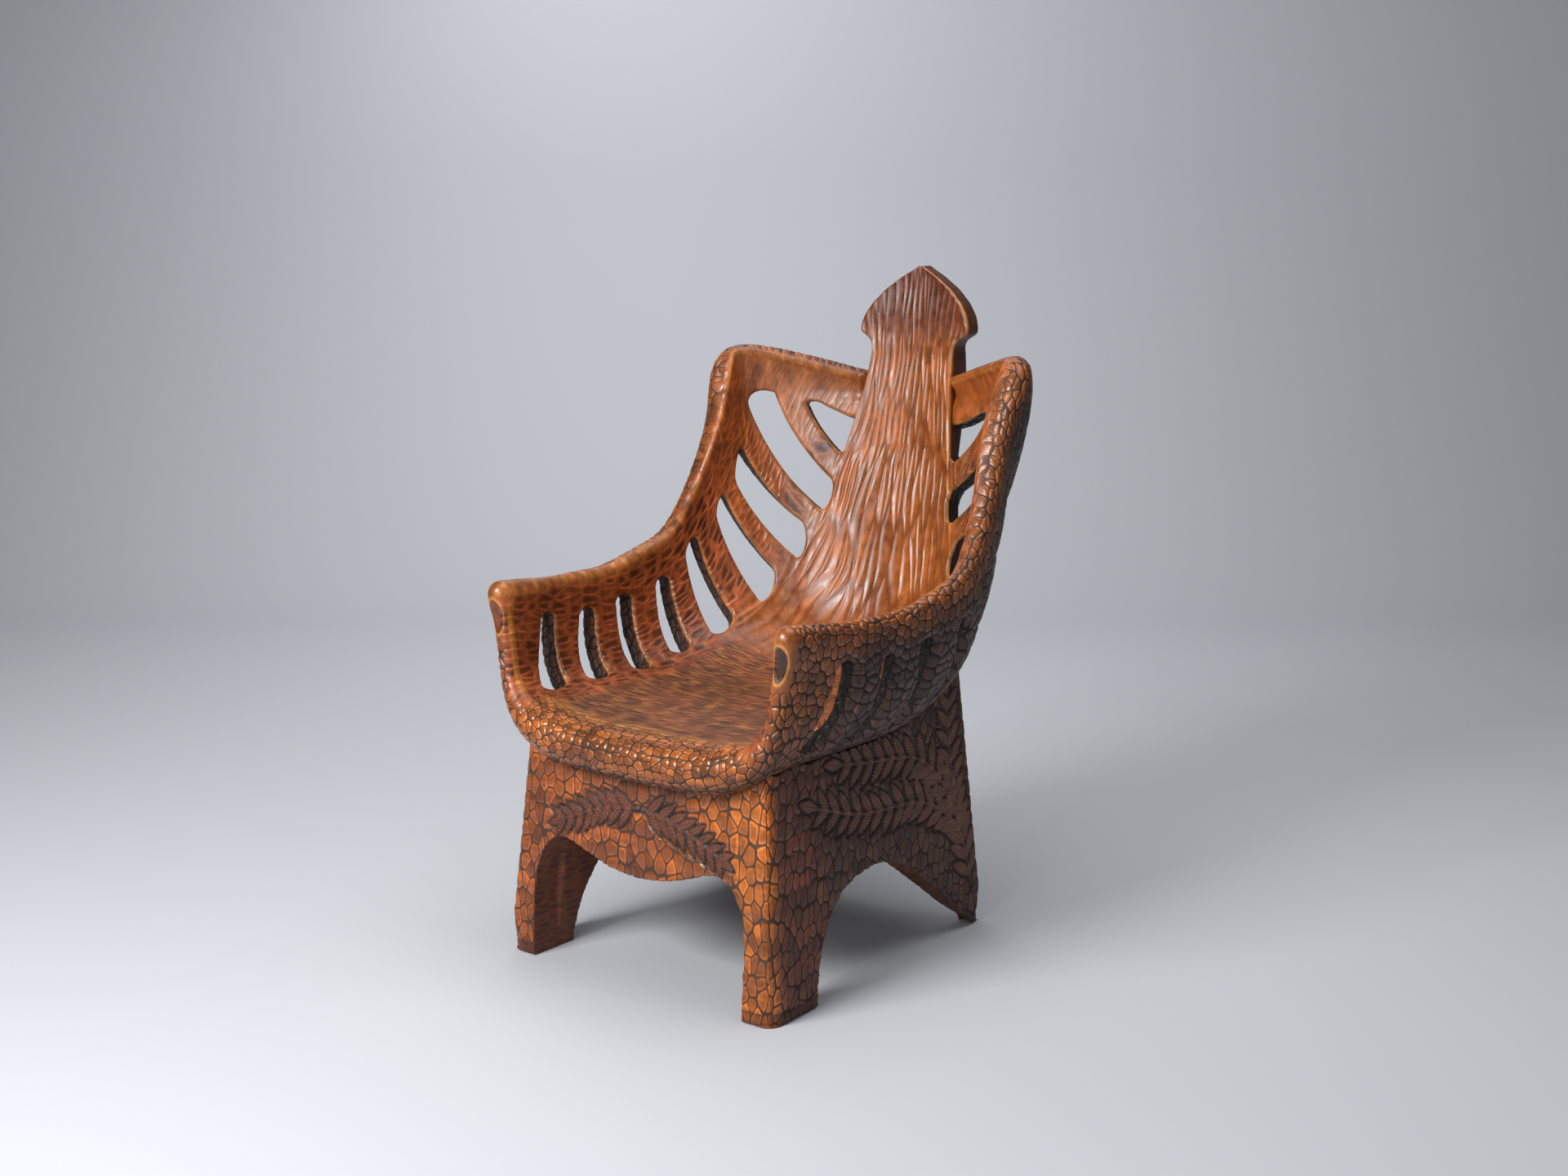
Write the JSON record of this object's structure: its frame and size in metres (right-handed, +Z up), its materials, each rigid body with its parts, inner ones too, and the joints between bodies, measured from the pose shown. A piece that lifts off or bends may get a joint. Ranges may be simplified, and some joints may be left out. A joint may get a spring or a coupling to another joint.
{
  "type": "carved wooden tub armchair",
  "caption": "Carved wooden armchair: a pierced tub of seat, arms and back with a spade finial, on a box base of arched boards.",
  "frame": {"origin": "bottom centre of the chair's box, on the floor", "axes": "+Z up, the chair faces -Y, +X is the sitter's left hand"},
  "size_m": [0.664, 0.8134, 1.092],
  "materials": {
    "carved_wood_back": "fluted, worn satin wax",
    "carved_wood_walls": "gouged facets, satin wax",
    "carved_wood_seat": "finely tooled, worn satin wax",
    "carved_wood_base": "cell-carved ground, dark stain",
    "dowel_wood": "bare"
  },
  "bodies": {
    "root": {"arm_rail_dowel_left": "dowel_wood", "arm_rail_dowel_right": "dowel_wood", "arm_stave_left": "carved_wood_walls", "arm_stave_right": "carved_wood_walls", "back_centre_board": "carved_wood_back", "back_rail_dowel_left": "dowel_wood", "back_rail_dowel_right": "dowel_wood", "base_front_board": "carved_wood_base", "base_rear_board": "carved_wood_base", "base_side_board_left": "carved_wood_base", "base_side_board_right": "carved_wood_base", "corner_stave_left": "carved_wood_walls", "corner_stave_right": "carved_wood_walls", "fan_dowel_left": "dowel_wood", "fan_dowel_right": "dowel_wood", "front_base_dowel_centre": "dowel_wood", "front_base_dowel_left": "dowel_wood", "front_base_dowel_right": "dowel_wood", "front_mitre_dowel_lower_left": "dowel_wood", "front_mitre_dowel_lower_right": "dowel_wood", "front_mitre_dowel_upper_left": "dowel_wood", "front_mitre_dowel_upper_right": "dowel_wood", "rear_base_dowel_centre": "dowel_wood", "rear_base_dowel_left": "dowel_wood", "rear_base_dowel_right": "dowel_wood", "rear_mitre_dowel_lower_left": "dowel_wood", "rear_mitre_dowel_lower_right": "dowel_wood", "rear_mitre_dowel_upper_left": "dowel_wood", "rear_mitre_dowel_upper_right": "dowel_wood", "rib_dowel_1_left": "dowel_wood", "rib_dowel_1_right": "dowel_wood", "rib_dowel_2_left": "dowel_wood", "rib_dowel_2_right": "dowel_wood", "rib_dowel_3_left": "dowel_wood", "rib_dowel_3_right": "dowel_wood", "rib_dowel_4_left": "dowel_wood", "rib_dowel_4_right": "dowel_wood", "seat_back_dowel_left": "dowel_wood", "seat_back_dowel_right": "dowel_wood", "seat_board_centre": "carved_wood_seat", "seat_board_left": "carved_wood_seat", "seat_board_right": "carved_wood_seat", "seat_corner_dowel_left": "dowel_wood", "seat_corner_dowel_right": "dowel_wood", "seat_dowel_front_left": "dowel_wood", "seat_dowel_front_right": "dowel_wood", "seat_dowel_rear_left": "dowel_wood", "seat_dowel_rear_right": "dowel_wood", "side_base_dowel_front_left": "dowel_wood", "side_base_dowel_front_right": "dowel_wood", "side_base_dowel_rear_left": "dowel_wood", "side_base_dowel_rear_right": "dowel_wood", "side_rail_dowel_left": "dowel_wood", "side_rail_dowel_right": "dowel_wood", "side_stave_left": "carved_wood_walls", "side_stave_right": "carved_wood_walls"}
  },
  "joints": []
}
